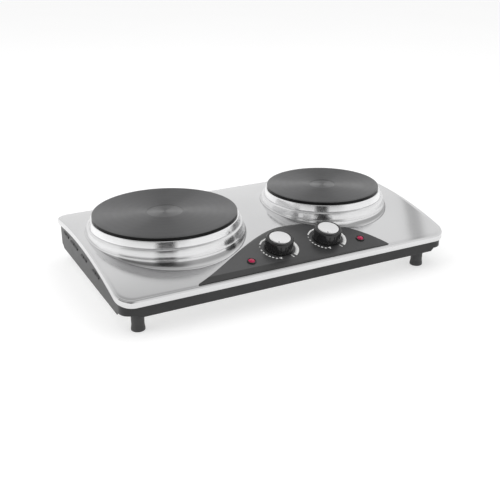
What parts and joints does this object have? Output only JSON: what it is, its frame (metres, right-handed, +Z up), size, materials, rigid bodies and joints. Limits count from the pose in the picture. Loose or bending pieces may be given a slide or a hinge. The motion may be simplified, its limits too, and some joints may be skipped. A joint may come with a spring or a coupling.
{
  "type": "electric hot plate burner",
  "caption": "Table-top electric hob: two cast-iron hot plates of unequal size on an arched steel top, thermostat knobs and pilot lamps at the front, black housing on feet.",
  "frame": {"origin": "on the table surface, under the middle of the top sheet", "axes": "+X to the user's right, +Y to the back, +Z up"},
  "size_m": [0.46, 0.268, 0.0893],
  "materials": {
    "sheet_steel": "brushed from side to side, satin",
    "panel_black": "satin black with white print",
    "housing_black": "black powder coat, fine texture",
    "zinc_steel": "dull zinc plate",
    "foot_black": "moulded, matte",
    "plate_iron": "turned and blackened, concentric tool marks",
    "ring_steel": "polished stainless",
    "heater_ceramic": "pressed insulating mass, matte",
    "terminal_ceramic": "unglazed steatite",
    "brass": "bright, lightly tarnished",
    "print_white": "screen-printed white ink on the control panel",
    "knob_black": "glossy black",
    "cap_metal": "pale satin metal",
    "lens_red": "red, translucent look, faceted",
    "bezel_black": "glossy black",
    "gland_rubber": "matte",
    "gland_nut_black": "moulded",
    "wire_brown": "silicone sleeve",
    "wire_blue": "silicone sleeve",
    "wire_green_yellow": "silicone sleeve"
  },
  "bodies": {
    "casing": {"top_sheet": "sheet_steel", "collar_large": "sheet_steel", "collar_small": "sheet_steel", "control_panel": "panel_black", "base_housing": "housing_black", "rear_wall": "housing_black", "bottom_cover": "zinc_steel", "sheet_posts": "zinc_steel", "base_screws": "zinc_steel", "foot_front_left": "foot_black", "foot_front_right": "foot_black", "foot_rear_left": "foot_black", "foot_rear_right": "foot_black", "hotplate_large": "plate_iron", "hotplate_small": "plate_iron", "heater_large": "heater_ceramic", "heater_small": "heater_ceramic", "spill_ring_large": "ring_steel", "spill_ring_small": "ring_steel", "plate_dish_large": "zinc_steel", "plate_dish_small": "zinc_steel", "clamp_bar_large": "zinc_steel", "clamp_bar_small": "zinc_steel", "plate_terminals_large": "terminal_ceramic", "plate_terminals_small": "terminal_ceramic", "plate_studs": "zinc_steel", "clamp_nuts": "zinc_steel", "thermostat_bush_left": "brass", "thermostat_bush_right": "brass", "panel_nuts": "zinc_steel", "thermostat_frame_left": "zinc_steel", "thermostat_frame_right": "zinc_steel", "contact_stack_left": "terminal_ceramic", "contact_stack_right": "terminal_ceramic", "contact_leaves_left": "brass", "contact_leaves_right": "brass", "lamp_lens_left": "lens_red", "lamp_lens_right": "lens_red", "lamp_holder_left": "bezel_black", "lamp_holder_right": "bezel_black", "terminal_block": "terminal_ceramic", "terminal_screws": "brass", "cord_gland": "gland_rubber", "gland_nut": "gland_nut_black", "earth_screw": "brass", "wires_live": "wire_brown", "wires_neutral": "wire_blue", "wire_earth": "wire_green_yellow"},
    "dial_left": {"knob_left": "knob_black", "knob_cap_left": "cap_metal", "knob_spring_left": "zinc_steel", "spindle_left": "zinc_steel"},
    "dial_right": {"knob_right": "knob_black", "knob_cap_right": "cap_metal", "knob_spring_right": "zinc_steel", "spindle_right": "zinc_steel"},
    "regulator_left": {"adjuster_left": "brass", "adjuster_pin_left": "terminal_ceramic"},
    "regulator_right": {"adjuster_right": "brass", "adjuster_pin_right": "terminal_ceramic"}
  },
  "joints": [
    {"name": "knob_left_turn", "type": "hinge", "parent": "casing", "child": "dial_left", "pos_m": [-0.0085, -0.0947, 0.05342], "axis": [0, 0.2221, -0.975], "range_deg": [0, 300]},
    {"name": "knob_right_turn", "type": "hinge", "parent": "casing", "child": "dial_right", "pos_m": [0.062, -0.0947, 0.05342], "axis": [0, 0.2221, -0.975], "range_deg": [0, 300]},
    {"name": "regulator_left_travel", "type": "slide", "parent": "casing", "child": "regulator_left", "axis": [0, 0.2221, -0.975], "range_m": [0, 0.00101]},
    {"name": "regulator_right_travel", "type": "slide", "parent": "casing", "child": "regulator_right", "axis": [0, 0.2221, -0.975], "range_m": [0, 0.00101]}
  ],
  "couplings": [
    {"joint": "regulator_left_travel", "follows": "knob_left_turn", "m_per_rad": 0.00019099},
    {"joint": "regulator_right_travel", "follows": "knob_right_turn", "m_per_rad": 0.00019099}
  ]
}
